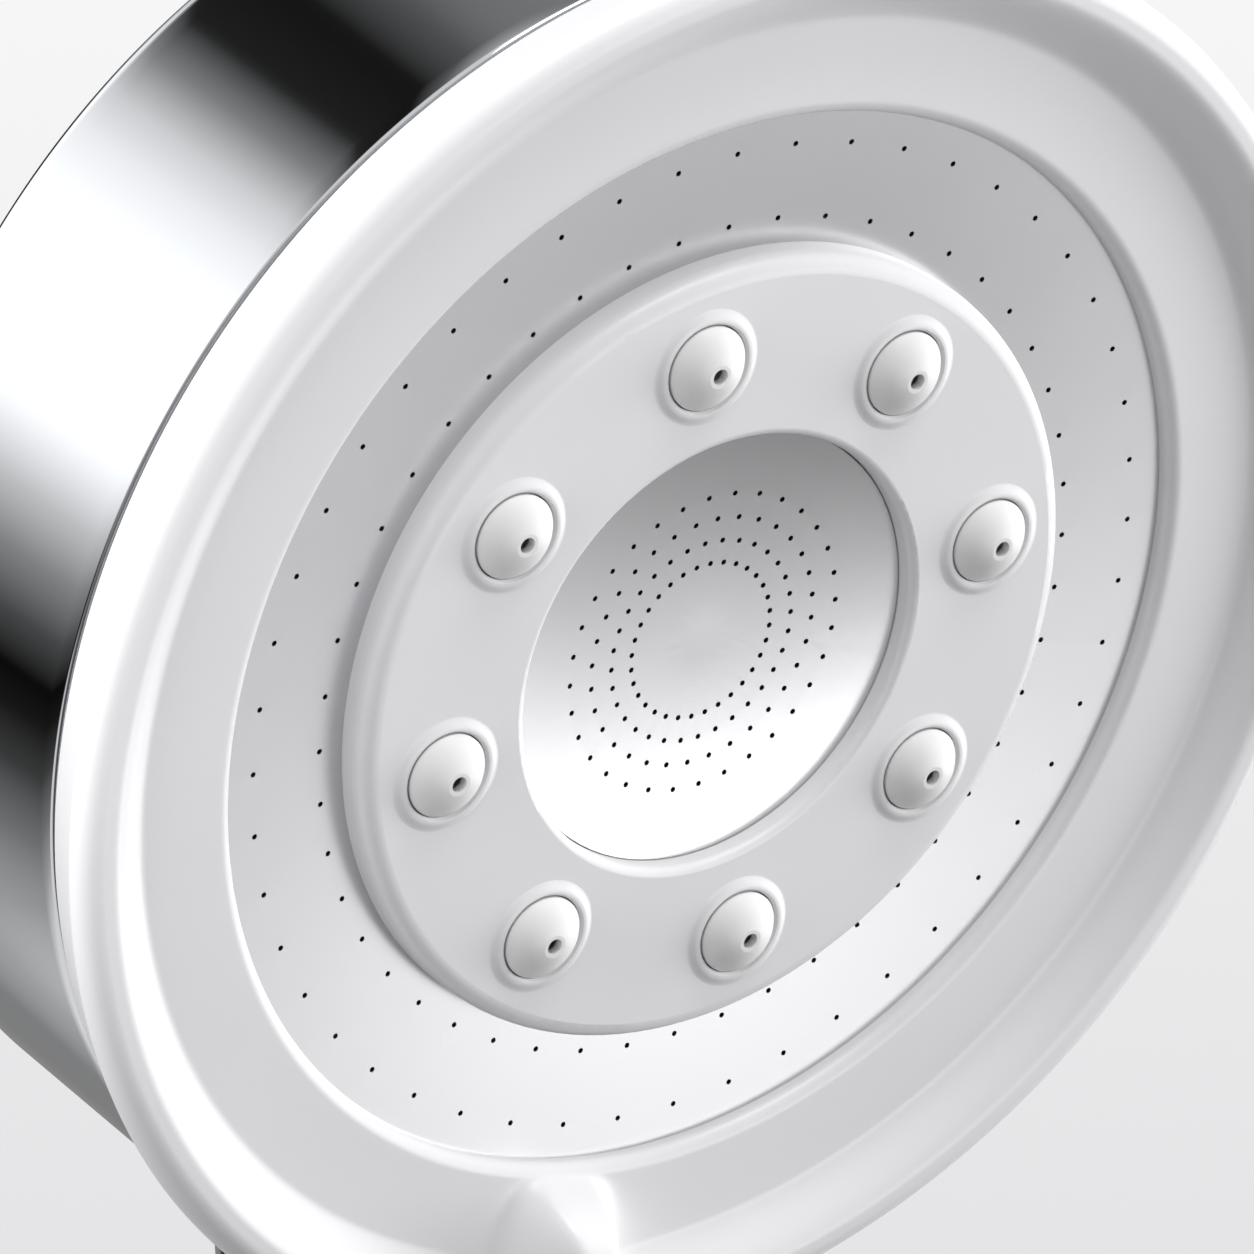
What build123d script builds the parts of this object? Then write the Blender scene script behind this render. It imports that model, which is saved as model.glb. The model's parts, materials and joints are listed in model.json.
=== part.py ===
import os
from math import cos, degrees, exp, radians, sin

from build123d import *

# Hand-held filtered shower head. Sizes are in mm and degrees.
# Heights on the head run along the face axis, from the nozzle collars, and are positive outwards.

# Head on its handle
face_pitch = 24.5           # face axis below level
face_height = 196.0         # centre of the nozzle collars above the inlet's end

# Clearances
fit = 0.1                   # round a piece that is seated in another
play = 0.3                  # between faces that turn or slide past each other
touch = 0.05                # between a seal or a foot and the moving face it meets

# Selector ring and its lever
rim_overhang = 1.7          # past the drum's side
rim_step = 0.3              # past the drum's side, at the ring's back edge
rim_width = 6.4             # from the ring's edge to the foot of the slope
ring_crest = 1.9
crest_round = 1.7
floor_height = -0.75
floor_width = 6.9
lip_round = 1.0
ring_wall = 2.0
ring_back = -3.74
guide_wall = 1.2            # rib that runs inside the drum's mouth
guide_length = 2.2
socket_length = 5.5         # wall behind the lip that holds the channel plate
lever_reach = 3.4           # past the ring's edge
lever_rise = 8.6            # above the ring's floor
lever_ramp = 2.1            # length over which the nose of the lever rises
lever_half_width = 2.8
lever_nose = 1.9            # half width of the foot at the nose
lever_spread = 0.94         # widening of the foot along the lever
lever_foot = 7.0            # half width of the foot at its widest
lever_tip = 3.0             # length of the rounded end

# Spray plate, with a dished middle and an outer part that slopes down to the nozzle ring
plate_front = -2.1          # at its rim
plate_wall = 0.55           # where it is thinnest
plate_rim = 1.3             # behind the selector ring's lip
slope_depth = 0.75
dish_rim = -1.8
dish_depth = 1.0
dish_flat = 1.5             # radius of the flat in the middle of the dish
spray_hole = 0.2            # radius
outer_count = 48
band_margin = 1.9           # from the nozzle ring to the next hole ring
lip_margin = 2.5            # from the selector ring's lip to the next hole ring
inner_rows = (5.8, 7.5, 9.25, 11.1)  # radii of the hole rings
inner_count = 32

# Nozzle ring and nozzle mat
nozzle_count = 8
nozzle_radius = 3.05
nozzle_rise = 1.35
nozzle_bore = 0.58
nozzle_tip = 0.85           # radius of the flat round the bore
nozzle_land = 0.7           # straight length of the bore
dome_foot = -0.1
nozzle_wall = 1.1           # side wall of the hollow behind the bore
band_inner = 16.15
band_outer = 29.2
band_top = -0.3
band_round = 1.3            # outer edge
band_inner_round = 0.6
collar_width = 1.1
collar_crest = 0.35         # flat top of a collar, round its nozzle
collar_chamfer = 0.2
boss_wall = 0.55            # tubes of the nozzle ring that pass the spray plate
mat_wall = 1.0
mat_rim = 1.5               # web outside the nozzles

# Channel plate, port plate and turbine
chamber_depth = 4.0
chamber_wall = 1.6
chamber_margin = 2.3        # from the outermost hole ring of a chamber to its wall
channel_floor = 1.5
modes = (("outer",), ("massage",), ("centre",), ("outer", "centre"), ("outer", "massage"))
mode_step = 30.0
port_circle = 21.0
port_radius = 2.3
port_margin = 0.9           # from the outermost feed hole to the port plate's edge
port_wall = 1.8
groove_depth = 1.0
notch_radius = 1.6
notch_depth = 1.2
lug_angle = 10.0            # width of the stop lug
lug_height = 2.6
turbine_height = 2.3
turbine_wall = 1.6
shutter_wall = 0.6
vane_count = 8
vane_wall = 0.8

# Bulkhead and what it carries
bulkhead_wall = 3.4
post_radius = 3.45
pivot_play = 0.12
pivot_shank = 1.25
pivot_head = 2.8
pivot_head_height = 1.9
pivot_end = 1.0             # wall left behind the pivot screw
washer_radius = 5.0
washer_wall = 0.8
washer_lift = 0.1           # the post's end stands this much above the chamber's floor
pivot_cord = 0.52           # O-ring cord radii
bulkhead_cord = 0.9
pocket_radius = 4.6
pocket_depth = 2.4
outlet_radius = 2.6
seal_round = 0.4
disc_spring_height = 0.8
disc_spring_wall = 0.35
spring_wall = 0.5
spring_height = 1.6
spring_span = 11.0          # from the notch to a peg
spring_gap = 4.8            # from the port plate's edge to a peg
spring_bend = 0.8
nose_half_width = 3.5
nose_depth = 0.6            # in the notch
peg_radius = 1.2
screw_count = 3
screw_inset = 4.5           # from the drum's bore
screw_shank = 1.3
screw_head = 2.3
screw_head_height = 1.5
screw_end = 0.6             # flange left behind a screw

# Filter cartridge
cartridge_length = 11.3
cartridge_wall = 1.6
cartridge_gap = 0.6         # to the drum's inner flange
cartridge_round = 0.8
screen_wall = 0.5
gasket_height = 1.5
gasket_inset = 3.2          # from the cartridge's edge
gasket_width = 4.0
slot_count = 12
slot_width = 3.6
slot_inner = 9.0
slot_margin = 2.0           # from the slots to the gasket

# Drum and rear cap
drum_radius = 50.7
drum_wall = 2.8
front_round = 0.5
back_round = 2.0
flange_wall = 3.2
flange_width = 7.1
plenum = 2.1                # from the cartridge to the drum's back edge
cap_rise = 5.5
cap_wall = 2.4
skirt_wall = 2.6
skirt_length = 4.6
cap_cord = 0.8
dimple_count = 2
dimple_radius = 13.0
dimple_depth = 1.3
dimple_circle = 27.0
foot_count = 6
foot_radius = 1.5
foot_inset = 2.2            # feet of the cap, in from the cartridge's edge

# Handle and inlet
thread_radius = 10.48       # G 1/2
thread_length = 12.0
collar_step = 0.92
collar_height = 2.0
collar_round = 0.5
inlet_bore = 6.8
restrictor_depth = 17.0     # restrictor above the inlet's end
restrictor_length = 4.0
restrictor_step = 1.4
restrictor_cord = 0.6
restrictor_hole = 1.2
restrictor_holes = 4
spigot_length = 12.0
nipple_cord = 0.7
spigot_wall = 2.1
tube_wall = 1.7
tube_drop = 10.0            # top of the tube below the drum's underside
seat_taper = 0.8            # added to the radius along the seat for a wall holder
seat_length = 26.0
grip_radius = 12.5
grip_height = 88.0
neck_half_width = 14.4
neck_margin = 2.1           # from the neck to the drum's edges
neck_flare = 1.6            # added to the half width inside the drum's wall
neck_blend = 2.0
feed_width = 12.0
feed_depth = 5.6

# Heights of the stack behind the face
plate_seat = plate_front - slope_depth
plate_back = plate_seat - plate_wall
chamber_back = plate_back - chamber_depth
channel_back = chamber_back - channel_floor
port_back = channel_back - port_wall
bulkhead_front = port_back - play
bulkhead_back = bulkhead_front - bulkhead_wall
flange_back = bulkhead_back - flange_wall
lid_front = bulkhead_back - gasket_height
cartridge_back = lid_front - cartridge_length
drum_back = cartridge_back - plenum
drum_front = ring_back - play
skirt_front = drum_back + skirt_length

# Radii that follow from the ones above
drum_bore = drum_radius - drum_wall
ring_radius = drum_radius + rim_overhang
ring_back_radius = drum_radius + rim_step
floor_radius = ring_radius - rim_width
lip_radius = floor_radius - floor_width
outer_rows = (band_outer + band_margin, lip_radius - lip_margin)
nozzle_circle = (band_inner + band_outer) / 2
plate_radius = lip_radius + plate_rim
socket_radius = plate_radius + fit
channel_radius = socket_radius - fit
post_hole = post_radius + pivot_play
centre_wall = inner_rows[-1] + chamber_margin
turbine_bore = centre_wall + chamber_wall + play
mat_inner = turbine_bore + play
mat_outer = nozzle_circle + nozzle_radius + mat_rim
massage_wall = mat_outer + play
outer_wall = outer_rows[-1] + chamber_margin - fit
feed_circle = {
    "centre": (washer_radius + centre_wall) / 2,
    "massage": port_circle,
    "outer": sum(outer_rows) / 2,
}
port_plate_radius = feed_circle["outer"] + port_radius + port_margin
stop_circle = port_plate_radius + lug_height / 2
screw_circle = drum_bore - screw_inset
flange_bore = drum_bore - flange_width
cartridge_radius = flange_bore - cartridge_gap
gasket_radius = cartridge_radius - gasket_inset
slot_outer = gasket_radius - gasket_width - slot_margin
cap_radius = drum_bore - play
cap_seal_bed = drum_bore - 2 * cap_cord - 2 * touch
tube_radius = inlet_bore + spigot_wall
handle_bore = tube_radius + fit
collar_radius = thread_radius + collar_step
seat_radius = collar_radius + seat_taper

# Handle heights
handle_foot = thread_length + collar_height
nipple_top = handle_foot + spigot_length
pitch = radians(face_pitch)
neck_setback = -(drum_front + drum_back) / 2    # middle of the drum's side behind the nozzle collars
neck_half_depth = ((drum_front - drum_back) / 2 - neck_margin) * cos(pitch)
face_forward = drum_radius * sin(pitch) + neck_setback * cos(pitch)
neck_height = face_height - drum_radius * cos(pitch) + neck_setback * sin(pitch)
tube_top = neck_height - tube_drop

head = Location((0, -face_forward, face_height), (90 + face_pitch, 0, 0))
up = 90                     # the head's 12 o'clock
down = -90


# Basic forms
def disc(radius, low, high):
    return Pos(0, 0, low) * Cylinder(radius, high - low, align=(Align.CENTER, Align.CENTER, Align.MIN))


def ring(outer, inner, low, high):
    return disc(outer, low, high) - disc(inner, low, high)


def spun(*edges):
    return revolve(Plane.XZ * make_face(edges), Axis.Z)


# Each corner is (radius, height), with a third number where the corner is rounded
def turned(*corners):
    rounds = [corner[2] if len(corner) > 2 else 0 for corner in corners]
    return spun(FilletPolyline(*[corner[:2] for corner in corners], radius=rounds, close=True))


def at(angle, radius):
    return Rot(0, 0, angle) * Pos(radius, 0, 0)


def around(piece, radius, count, start=0.0):
    return [at(start + 360 * i / count, radius) * piece for i in range(count)]


def cord_ring(radius, cord, height):
    return Pos(0, 0, height) * Torus(radius, cord)


def mode_angle(index):
    return up + mode_step * (index - (len(modes) - 1) / 2)


# Face that turns with the lever
def selector_ring():
    crest_radius = ring_radius - crest_round
    hollow_radius = ring_back_radius - ring_wall
    guide_radius = drum_bore - play
    floor_back = floor_height - ring_wall
    guide_back = drum_front - guide_length
    socket_back = floor_back - socket_length
    profile = [
        Line((lip_radius, plate_front), (lip_radius, floor_height - lip_round)),
        TangentArc(
            (lip_radius, floor_height - lip_round), (lip_radius + lip_round, floor_height), tangent=(0, 1)
        ),
        Line((lip_radius + lip_round, floor_height), (floor_radius, floor_height)),
        Spline((floor_radius, floor_height), (crest_radius, ring_crest), tangents=((1, 0), (1, 0))),
        TangentArc((crest_radius, ring_crest), (ring_radius, ring_crest - crest_round), tangent=(1, 0)),
        Polyline(
            (ring_radius, ring_crest - crest_round),
            (ring_back_radius, ring_back),
            (hollow_radius, ring_back),
            (hollow_radius, floor_height),
            (guide_radius, floor_height),
            (guide_radius, guide_back),
            (guide_radius - guide_wall, guide_back),
            (guide_radius - guide_wall, floor_back),
            (socket_radius + ring_wall, floor_back),
            (socket_radius + ring_wall, socket_back),
            (socket_radius, socket_back),
            (socket_radius, plate_front),
            (lip_radius, plate_front),
        ),
    ]
    return spun(*profile) + Rot(0, 0, down) * lever()


# The lever runs through sections with a round top and hollow flanks, from its nose at the lip to its tip
def lever():
    nose = lip_radius + lip_round
    tip = ring_radius + lever_reach
    widest = nose + (lever_foot - lever_nose) / lever_spread
    ring_side = ring_radius - crest_round
    ramp = (nose - fit, nose + lever_ramp / 4, nose + lever_ramp)
    arm = (widest, ring_side, tip - lever_tip, tip - fit)
    return loft([lever_section(radius, nose, widest, ring_side, tip) for radius in ramp + arm])


def lever_section(radius, nose, widest, ring_side, tip):
    run = radius - nose
    rise = lever_rise * (1 - exp(-run / lever_ramp))
    spread = min(lever_nose + lever_spread * run, lever_foot)
    shrink = min(max((radius - widest) / (ring_side - widest), 0), 1)
    foot = spread + (lever_half_width - spread) * shrink
    base = floor_height - ring_wall / 3
    over = max(radius - ring_side, 0) / (tip - ring_side)
    underside = base + (floor_height + lever_rise / 2 - base) * over
    past = max(radius - tip + lever_tip, 0) / lever_tip
    close = (1 - past ** 2) ** 0.5
    top = underside + (floor_height + rise - underside) * close
    half_width = min(lever_half_width, foot * 0.85) * close
    height = top - underside
    flank = [
        (-foot * close, underside + 0.08 * height),
        (-half_width * 1.06, underside + 0.5 * height),
        (-half_width * 0.86, underside + 0.86 * height),
    ]
    points = flank + [(0, top)] + [(-x, z) for x, z in reversed(flank)]
    left, right = points[0], points[-1]
    outline = [Spline(*points), Polyline(right, (right[0], underside), (left[0], underside), left)]
    return Plane.YZ.offset(radius) * make_face(outline)


def nozzle_places():
    return PolarLocations(nozzle_circle, nozzle_count, start_angle=180 / nozzle_count)


def spray_plate():
    boss_radius = nozzle_radius + fit + boss_wall
    dish_edge = band_inner - fit
    dish_low = dish_rim - dish_depth
    plate = spun(
        Line((0, dish_low), (dish_flat, dish_low)),
        TangentArc((dish_flat, dish_low), (dish_edge, dish_rim), tangent=(1, 0)),
        Polyline(
            (dish_edge, dish_rim),
            (dish_edge, plate_seat),
            (band_outer, plate_seat),
            (lip_radius, plate_front),
            (plate_radius, plate_front),
            (plate_radius, plate_back),
            (0, plate_back),
            (0, dish_low),
        ),
    )
    holes = Sketch() + nozzle_places() * Circle(boss_radius + fit)
    for radius in outer_rows:
        holes += PolarLocations(radius, outer_count) * Circle(spray_hole)
    for row, radius in enumerate(inner_rows):
        stagger = 180 / inner_count * (row % 2)
        holes += PolarLocations(radius, inner_count, start_angle=stagger) * Circle(spray_hole)
    return plate - Pos(0, 0, plate_back) * extrude(holes, dish_rim - plate_back)


# Ring with a soft collar round each nozzle and a tube behind each collar that passes the plate
def nozzle_ring():
    hole = nozzle_radius + fit
    band = turned(
        (band_inner, plate_seat),
        (band_outer, plate_seat),
        (band_outer, band_top, band_round),
        (band_inner, band_top, band_inner_round),
    )
    crest = hole + collar_crest
    edge = hole + collar_width
    collar = spun(
        Line((0, 0), (crest, 0)),
        Spline((crest, 0), (edge, band_top), tangents=((1, 0), (1, 0))),
        Polyline((edge, band_top), (edge, plate_seat), (0, plate_seat), (0, 0)),
    )
    tube = disc(hole + boss_wall, plate_back, plate_seat)
    mouth = hole + collar_chamfer
    opening = turned((0, plate_back), (hole, plate_back), (hole, -collar_chamfer), (mouth, 0), (0, 0))
    return band + nozzle_places() * collar + nozzle_places() * tube - nozzle_places() * opening


# Domed nozzles on one web
def nozzle_mat():
    web = ring(mat_outer, mat_inner, plate_back - mat_wall, plate_back)
    back = plate_back - mat_wall
    dome_mid = (nozzle_radius * 0.68, nozzle_rise * 0.62)
    nozzle = spun(
        Polyline((0, nozzle_rise), (0, back), (nozzle_radius, back), (nozzle_radius, dome_foot)),
        ThreePointArc((nozzle_radius, dome_foot), dome_mid, (nozzle_tip, nozzle_rise)),
        Line((nozzle_tip, nozzle_rise), (0, nozzle_rise)),
    )
    throat = nozzle_radius - nozzle_wall
    bore = turned(
        (0, back),
        (throat, back),
        (throat, nozzle_rise - nozzle_land - nozzle_wall),
        (nozzle_bore, nozzle_rise - nozzle_land),
        (nozzle_bore, nozzle_rise),
        (0, nozzle_rise),
    )
    return web + nozzle_places() * nozzle - nozzle_places() * bore


# Three ring chambers, open to the front, with feed holes in the floor
def channel_plate():
    plate = disc(channel_radius, channel_back, plate_back)
    plate -= disc(centre_wall, chamber_back, plate_back)
    plate -= ring(massage_wall, centre_wall + chamber_wall, chamber_back, plate_back)
    plate -= ring(outer_wall, massage_wall + chamber_wall, chamber_back, plate_back)
    plate -= disc(post_hole, channel_back, chamber_back)
    feed = disc(port_radius, channel_back, chamber_back)
    for index, mode in enumerate(modes):
        plate -= [at(mode_angle(index), feed_circle[chamber]) * feed for chamber in mode]
    return plate


# Ports on one circle, each joined by a groove to the feed holes of its mode
def port_plate():
    plate = disc(port_plate_radius, port_back, channel_back)
    lug_section = Pos(port_plate_radius, port_back) * Rectangle(
        lug_height, port_wall, align=(Align.MIN, Align.MIN)
    )
    lug = revolve(Plane.XZ * lug_section, Axis.Z, revolution_arc=lug_angle)
    plate += Rot(0, 0, up - lug_angle / 2) * lug
    plate -= disc(post_hole, port_back, channel_back)
    for index, mode in enumerate(modes):
        angle = mode_angle(index)
        plate -= at(angle, port_circle) * disc(port_radius, port_back, channel_back)
        reach = [feed_circle[chamber] for chamber in mode] + [port_circle]
        span = max(reach) - min(reach)
        if span:
            groove = extrude(SlotCenterToCenter(span, 2 * port_radius), groove_depth)
            plate -= at(angle, min(reach) + span / 2) * Pos(0, 0, channel_back - groove_depth) * groove
        notch = disc(notch_radius, port_back, channel_back)
        plate -= at(angle + 180, port_plate_radius - notch_depth + notch_radius) * notch
    return plate


# Rotor with a shutter over half the nozzles
def turbine():
    low = chamber_back + play
    high = low + turbine_height
    rim = massage_wall - play
    rotor = ring(turbine_bore + turbine_wall, turbine_bore, low, high)
    rotor += ring(rim, rim - vane_wall, high - 2 * shutter_wall, high)
    vane_length = rim - turbine_bore - turbine_wall
    vane_height = turbine_height - shutter_wall
    vane = Box(vane_length, vane_wall, vane_height, align=(Align.CENTER, Align.CENTER, Align.MIN))
    vane_mid = turbine_bore + turbine_wall + vane_length / 2 - vane_wall / 2
    rotor += around(Pos(0, 0, low) * vane, vane_mid, vane_count)
    shutter = ring(rim - vane_wall / 2, turbine_bore + turbine_wall / 2, high - shutter_wall, high)
    rotor += split(shutter, Plane.XZ, keep=Keep.TOP)
    return rotor


# Fixed wall behind the turning face
def bulkhead():
    middle = (bulkhead_front + bulkhead_back) / 2
    post_top = chamber_back + washer_lift
    peg_top = channel_back - play
    seal_middle = port_back + port_wall / 2
    seal_bed = post_hole - 2 * pivot_cord - 2 * touch
    wall = disc(drum_bore - fit, bulkhead_back, bulkhead_front) + disc(post_radius, bulkhead_front, post_top)
    groove = bulkhead_cord + touch
    wall -= ring(drum_bore, drum_bore - 2 * groove, middle - groove, middle + groove)
    wall -= ring(post_radius, seal_bed, seal_middle - pivot_cord - touch, seal_middle + pivot_cord + touch)
    wall -= disc(pivot_shank, bulkhead_back + pivot_end, post_top)
    wall -= at(up, port_circle) * disc(pocket_radius, bulkhead_front - pocket_depth, bulkhead_front)
    wall -= at(up, port_circle) * disc(outlet_radius, bulkhead_back, bulkhead_front)
    sink = disc(screw_head + fit, bulkhead_front - screw_head_height, bulkhead_front)
    wall -= around(disc(screw_shank, bulkhead_back, bulkhead_front), screw_circle, screw_count, up)
    wall -= around(sink, screw_circle, screw_count, up)
    peg = disc(peg_radius, bulkhead_front, peg_top)
    wall += [Pos(x, y) * peg for x, y in spring_pegs()]
    return wall + [at(angle, stop_circle) * peg for angle in stop_angles()]


def spring_pegs():
    return [(side * spring_span, -port_plate_radius - spring_gap) for side in (-1, 1)]


# Pegs that stop the lug just past the first and the last mode
def stop_angles():
    peg_angle = degrees(2 * peg_radius / stop_circle)
    turn = mode_step * (len(modes) - 1) / 2 + lug_angle / 2 + peg_angle
    return [up - turn, up + turn]


def bulkhead_seal():
    return cord_ring(drum_bore - bulkhead_cord, bulkhead_cord, (bulkhead_front + bulkhead_back) / 2)


def bulkhead_screws():
    head_low = bulkhead_front - screw_head_height
    screw = disc(screw_head, head_low, bulkhead_front) + disc(screw_shank, flange_back + screw_end, head_low)
    return Compound(around(screw, screw_circle, screw_count, up))


def pivot_screw():
    head_low = chamber_back + washer_lift + washer_wall
    head_top = head_low + pivot_head_height
    screw = disc(pivot_shank, bulkhead_back + pivot_end, head_low) + disc(pivot_head, head_low, head_top)
    return fillet(screw.edges().group_by(Axis.Z)[-1], pivot_head_height / 3)


def pivot_washer():
    low = chamber_back + washer_lift
    return ring(washer_radius, pivot_shank + fit, low, low + washer_wall)


def pivot_seal():
    return cord_ring(post_hole - touch - pivot_cord, pivot_cord, port_back + port_wall / 2)


# Rubber cup pressed against the port plate by a disc spring
def port_seal():
    low = bulkhead_front - pocket_depth + disc_spring_height
    high = port_back - touch
    seal = turned(
        (outlet_radius, low),
        (pocket_radius - fit, low),
        (pocket_radius - fit, high, seal_round),
        (outlet_radius, high),
    )
    return at(up, port_circle) * seal


def seal_spring():
    low = bulkhead_front - pocket_depth
    inner = outlet_radius + fit
    outer = pocket_radius - fit * 2
    cone = turned(
        (outer, low),
        (outer, low + disc_spring_wall),
        (inner, low + disc_spring_height),
        (inner, low + disc_spring_height - disc_spring_wall),
    )
    return at(up, port_circle) * cone


# Leaf spring whose nose drops into the port plate's notches
def click_spring():
    (left, peg_y), (right, _) = spring_pegs()
    arm_y = peg_y + peg_radius + spring_wall / 2
    path = FilletPolyline(
        (left - peg_radius, arm_y),
        (-nose_half_width, arm_y),
        (0, nose_depth - port_plate_radius),
        (nose_half_width, arm_y),
        (right + peg_radius, arm_y),
        radius=spring_bend,
    )
    return Pos(0, 0, bulkhead_front + touch) * extrude(trace(path, spring_wall), spring_height)


# Filter cartridge
def slots(low, high):
    length = slot_outer - slot_inner
    slot = extrude(SlotOverall(length, slot_width), high - low)
    return around(Pos(0, 0, low) * slot, (slot_outer + slot_inner) / 2, slot_count)


def cartridge_cup():
    inner = cartridge_radius - cartridge_wall
    cup = turned(
        (0, cartridge_back),
        (cartridge_radius, cartridge_back, cartridge_round),
        (cartridge_radius, lid_front - cartridge_wall),
        (inner, lid_front - cartridge_wall),
        (inner, cartridge_back + cartridge_wall),
        (0, cartridge_back + cartridge_wall),
    )
    return cup - slots(cartridge_back, cartridge_back + cartridge_wall)


def cartridge_lid():
    low = lid_front - cartridge_wall
    rim = cartridge_radius - cartridge_wall - fit
    lid = disc(cartridge_radius, low, lid_front) + ring(rim, rim - cartridge_wall, low - screen_wall, low)
    return lid - slots(low, lid_front)


def front_screen():
    low = lid_front - cartridge_wall - screen_wall
    return disc(cartridge_radius - 2 * cartridge_wall - 2 * fit, low, low + screen_wall)


def rear_screen():
    low = cartridge_back + cartridge_wall
    return disc(cartridge_radius - cartridge_wall - fit, low, low + screen_wall)


def filter_media():
    low = cartridge_back + cartridge_wall + screen_wall
    return disc(cartridge_radius - cartridge_wall - fit, low, lid_front - cartridge_wall - screen_wall)


def cartridge_gasket():
    return ring(gasket_radius, gasket_radius - gasket_width, lid_front, bulkhead_back)


# Domed screw cap, with a seal on its skirt and feet that hold the cartridge forward
def rear_cap():
    apex = drum_back - cap_rise
    skirt_inner = cap_radius - skirt_wall
    inner_base = drum_back + cap_wall
    cap = spun(
        TangentArc((0, apex), (cap_radius, drum_back), tangent=(1, 0)),
        Polyline(
            (cap_radius, drum_back),
            (cap_radius, skirt_front),
            (skirt_inner, skirt_front),
            (skirt_inner, inner_base),
        ),
        TangentArc((0, apex + cap_wall), (skirt_inner, inner_base), tangent=(1, 0)),
        Line((0, apex + cap_wall), (0, apex)),
    )
    middle = skirt_front - 2 * cap_cord
    groove = cap_cord + touch
    cap -= ring(drum_bore, cap_seal_bed, middle - groove, middle + groove)
    dimple_height = apex + dome_fall(dimple_circle) + dimple_depth - dimple_radius
    cap -= around(Pos(0, 0, dimple_height) * Sphere(dimple_radius), dimple_circle, dimple_count)
    foot_circle = cartridge_radius - foot_inset
    foot_low = apex + cap_wall / 2 + dome_fall(foot_circle)
    return cap + around(disc(foot_radius, foot_low, cartridge_back - touch), foot_circle, foot_count)


# Height of the cap's dome at a radius, above its apex
def dome_fall(radius):
    sphere = (cap_radius ** 2 + cap_rise ** 2) / (2 * cap_rise)
    return sphere - (sphere ** 2 - radius ** 2) ** 0.5


def cap_seal():
    return cord_ring(drum_bore - touch - cap_cord, cap_cord, skirt_front - 2 * cap_cord)


# Drum and handle, one plated moulding
def body_shell():
    drum = turned(
        (0, drum_front),
        (drum_radius, drum_front, front_round),
        (drum_radius, drum_back, back_round),
        (0, drum_back),
    )
    body = head * drum + handle()
    joint = [edge for edge in body.edges() if is_neck_edge(edge)]
    body = fillet(joint, neck_blend)
    cavity = disc(drum_bore, bulkhead_back, drum_front)
    cavity += disc(flange_bore, flange_back, bulkhead_back)
    cavity += disc(drum_bore, drum_back - 2 * cap_rise, flange_back)
    cavity += around(disc(screw_shank, flange_back, bulkhead_back), screw_circle, screw_count, up)
    body -= head * cavity
    body -= disc(handle_bore, handle_foot, tube_top)
    return body - feed_slot()


# Stem that widens sideways into the drum
def handle():
    sections = [
        (handle_foot, collar_radius, collar_radius),
        (handle_foot + seat_length, seat_radius, seat_radius),
        (grip_height, grip_radius, grip_radius),
        (neck_height, neck_half_width, neck_half_depth),
        (neck_height + 4 * drum_wall, neck_half_width + neck_flare, neck_half_depth),
    ]
    stem = loft([Pos(0, 0, height) * Ellipse(half_x, half_y) for height, half_x, half_y in sections])
    return stem - head * disc(drum_radius - drum_wall / 2, 2 * drum_back, drum_front + drum_wall)


# Edges where the neck meets the drum's side
def is_neck_edge(edge):
    if edge.geom_type in (GeomType.CIRCLE, GeomType.LINE):
        return False
    places = [head.inverse() * Location(edge @ share) for share in (0.1, 0.5, 0.9)]
    radii = [Vector(place.position.X, place.position.Y).length for place in places]
    return all(drum_radius - back_round < radius < drum_radius + fit for radius in radii)


# From the top of the water tube into the space round the cartridge
def feed_slot():
    middle = (flange_back + skirt_front) / 2
    mouth = head * Location((0, -drum_bore, middle))
    return Pos(0, mouth.position.Y, tube_top) * extrude(SlotOverall(feed_width, feed_depth), 2 * tube_drop)


def water_tube():
    return ring(tube_radius, tube_radius - tube_wall, nipple_top, tube_top)


def inlet_nipple():
    step = restrictor_depth + restrictor_length
    spigot = tube_radius
    nipple = turned(
        (inlet_bore, 0),
        (thread_radius, 0),
        (thread_radius, thread_length),
        (collar_radius, thread_length, collar_round),
        (collar_radius, handle_foot),
        (spigot, handle_foot),
        (spigot, nipple_top),
        (inlet_bore - restrictor_step, nipple_top),
        (inlet_bore - restrictor_step, step),
        (inlet_bore, step),
    )
    middle = handle_foot + spigot_length / 2
    groove = handle_bore - 2 * nipple_cord
    return nipple - ring(handle_bore, groove, middle - nipple_cord, middle + nipple_cord)


def nipple_seal():
    return cord_ring(handle_bore - nipple_cord, nipple_cord, handle_foot + spigot_length / 2)


def flow_restrictor():
    low = restrictor_depth
    high = low + restrictor_length
    middle = (low + high) / 2
    body = disc(inlet_bore - fit, low, high)
    groove = inlet_bore - 2 * restrictor_cord
    body -= ring(inlet_bore, groove, middle - restrictor_cord, middle + restrictor_cord)
    return body - around(disc(restrictor_hole, low, high), inlet_bore / 2, restrictor_holes)


def restrictor_seal():
    return cord_ring(inlet_bore - restrictor_cord, restrictor_cord, restrictor_depth + restrictor_length / 2)


on_head = (
    selector_ring, spray_plate, nozzle_ring, nozzle_mat, channel_plate, port_plate, turbine,
    bulkhead, bulkhead_seal, bulkhead_screws, pivot_screw, pivot_washer, pivot_seal,
    port_seal, seal_spring, click_spring,
    cartridge_cup, cartridge_lid, front_screen, rear_screen, filter_media, cartridge_gasket,
    rear_cap, cap_seal,
)
on_handle = (body_shell, water_tube, inlet_nipple, nipple_seal, flow_restrictor, restrictor_seal)

os.makedirs("parts", exist_ok=True)
for make in on_head:
    export_step(head * make(), f"parts/{make.__name__}.step")
for make in on_handle:
    export_step(make(), f"parts/{make.__name__}.step")
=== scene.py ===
import json
import math

import bpy
import numpy as np
from mathutils import Matrix, Vector


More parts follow.
